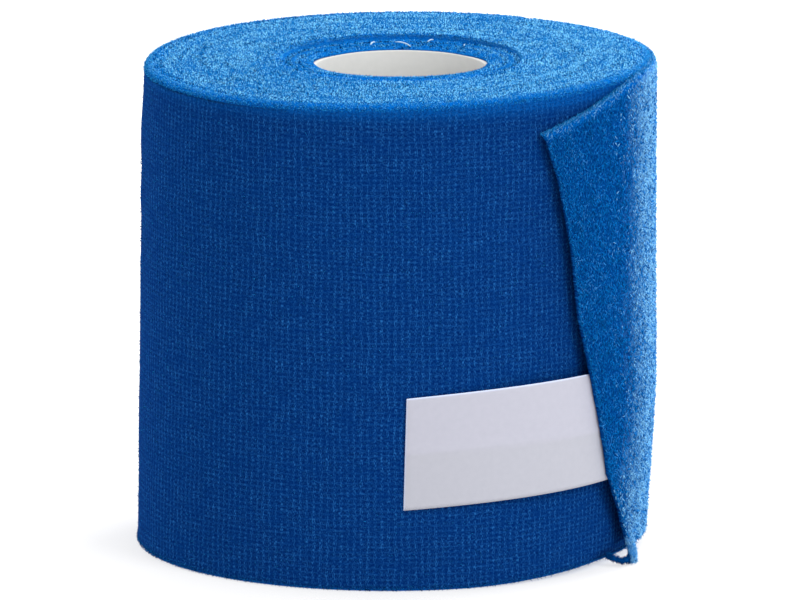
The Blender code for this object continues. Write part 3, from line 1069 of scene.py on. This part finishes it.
def make_threads(name, threads, material):
    """Thin round threads, each a ring of eight points carried along a smooth route, rounded off at both ends.

    A route is the Catmull-Rom curve through its points, which are angles, radii and heights about the core.
    """
    stations = 25
    points, quads, caps, tones = [], [], [], []
    turns = np.radians(np.arange(0, 360, 45))[None, :, None]
    from_end = np.minimum(np.linspace(0, 1, stations), np.linspace(1, 0, stations))
    taper = np.sqrt(np.clip(5 * from_end, 0.01, 1))
    for width, tone, route in threads:
        angle, radius, height = np.array(route).T
        knots = on_roll(angle, radius * MM, height * MM)
        knots = np.concatenate([2 * knots[:1] - knots[1:2], knots, 2 * knots[-1:] - knots[-2:-1]])
        at = np.linspace(0, len(route) - 1, stations)
        before = np.minimum(at.astype(int), len(route) - 2)
        t = (at - before)[:, None]
        a, b, c, d = (knots[before + step] for step in range(4))
        centre = b + ((c - a) * t + (2 * a - 5 * b + 4 * c - d) * t**2 + (3 * b - a - 3 * c + d) * t**3) / 2
        along = np.gradient(centre, axis=0)
        along /= np.linalg.norm(along, axis=1, keepdims=True)
        first = np.cross(along, (0.13, 0.31, 0.94))
        first /= np.linalg.norm(first, axis=1, keepdims=True)
        second = np.cross(along, first)
        ring = np.cos(turns) * first[:, None] + np.sin(turns) * second[:, None]
        start = 8 * stations * len(points)
        points.append(centre[:, None] + ring * (width * MM / 2 * taper)[:, None, None])
        tones.append(np.full(8 * stations, tone))
        quads.append(start + grid_faces(stations, 8, False, True))
        caps.append(start + np.array([np.arange(7, -1, -1), 8 * (stations - 1) + np.arange(8)]))
    values = {"tone": np.concatenate(tones)}
    return mesh_piece(name, np.array(points), [*quads, *caps], material, None, values)


def make_camera():
    """Camera in front of the roll and a little above it, with a long lens, aimed at the core's axis."""
    rise = np.radians(CAMERA_RISE)
    data = bpy.data.cameras.new("camera")
    data.lens = 713
    data.sensor_width = 36
    data.clip_end = 50
    camera = bpy.data.objects.new("camera", data)
    camera.location = (
        CORE_X,
        CORE_Y - CAMERA_AWAY * np.cos(rise),
        CAMERA_AIM + CAMERA_AWAY * np.sin(rise),
    )
    camera.rotation_euler = (np.radians(90) - rise, 0, 0)
    bpy.context.scene.collection.objects.link(camera)
    bpy.context.scene.camera = camera


def make_lamp(name, azimuth, elevation, away, width, height, power):
    """Soft oblong lamp that faces the roll's middle from this azimuth, elevation and distance."""
    turn, rise = np.radians(azimuth), np.radians(elevation)
    data = bpy.data.lights.new(name, "AREA")
    data.shape = "RECTANGLE"
    data.size = width
    data.size_y = height
    data.energy = power
    lamp = bpy.data.objects.new(name, data)
    lamp.location = (
        away * np.cos(rise) * np.sin(turn),
        -away * np.cos(rise) * np.cos(turn),
        LAMP_AIM + away * np.sin(rise),
    )
    lamp.rotation_euler = (np.radians(90) - rise, 0, turn)
    bpy.context.scene.collection.objects.link(lamp)


def make_studio():
    """White surroundings, a pale floor that reaches past the view, and soft lamps above and to both sides."""
    world = bpy.data.worlds.new("white studio")
    world.use_nodes = True
    world.node_tree.nodes["Background"].inputs["Color"].default_value = (1, 1, 1, 1)
    world.node_tree.nodes["Background"].inputs["Strength"].default_value = 1.0
    bpy.context.scene.world = world
    material, tree, output = new_material("white paper sweep")
    paper = add(
        tree,
        "ShaderNodeBsdfPrincipled",
        {},
        {
            "Base Color": (0.45, 0.45, 0.45, 1),
            "Roughness": 1.0,
            "Specular IOR Level": 0.0,
            "Emission Color": (1, 1, 1, 1),
            "Emission Strength": 0.5,
        },
    )
    tree.links.new(paper.outputs[0], output.inputs[0])
    corners = np.array(((-9, -9, 0), (9, -9, 0), (9, 9, 0), (-9, 9, 0)), float)
    floor = mesh_piece("floor", corners, [np.array(((0, 1, 2, 3),))], material)
    for lamp in LAMPS:
        make_lamp(*lamp)
    bpy.context.scene.view_settings.view_transform = "Standard"


def main():
    """Sets up the studio, makes the pieces, hangs them on the root body and hides the parts they replace."""
    make_camera()
    make_studio()
    wound = wound_crepe()
    felt_fibre = loose_fibre("felted crepe fibre", "#003068", "#2494dc", "#8cdcff")
    nap_fibre = loose_fibre("slack crepe fibre", "#003672", "#0a70be", "#78b4dc")
    roll = make_wound_roll(wound)
    loose = make_loose_end(slack_crepe())
    tab = make_closure_tab(tab_paper())
    core = make_core_tube(core_paper())
    for piece, node, slot in (
        (roll, "wound_roll", "wound_cloth"),
        (loose, "loose_end", "slack_cloth"),
        (tab, "closure_tab", "tab_paper"),
        (core, "core_tube", "core_paper"),
    ):
        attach(piece, "root")
        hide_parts(node)
    for piece, slot in (
        (make_top_fuzz("top_fuzz_1", TOP_FIBRES, 21, felt_fibre), "wound_cloth"),
        (make_top_fuzz("top_fuzz_2", TOP_FIBRES, 22, felt_fibre), "wound_cloth"),
        (make_edge_fuzz("edge_fuzz", felt_fibre), "wound_cloth"),
        (make_nap("loose_end_nap", NAP_THREADS, nap_fibre), "slack_cloth"),
        (make_threads("elastic_thread_ends", THREAD_ENDS, elastic_thread()), "core_paper"),
        (make_threads("tail_threads", TAIL_THREADS, nap_fibre), "slack_cloth"),
    ):
        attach(piece, "root")


main()
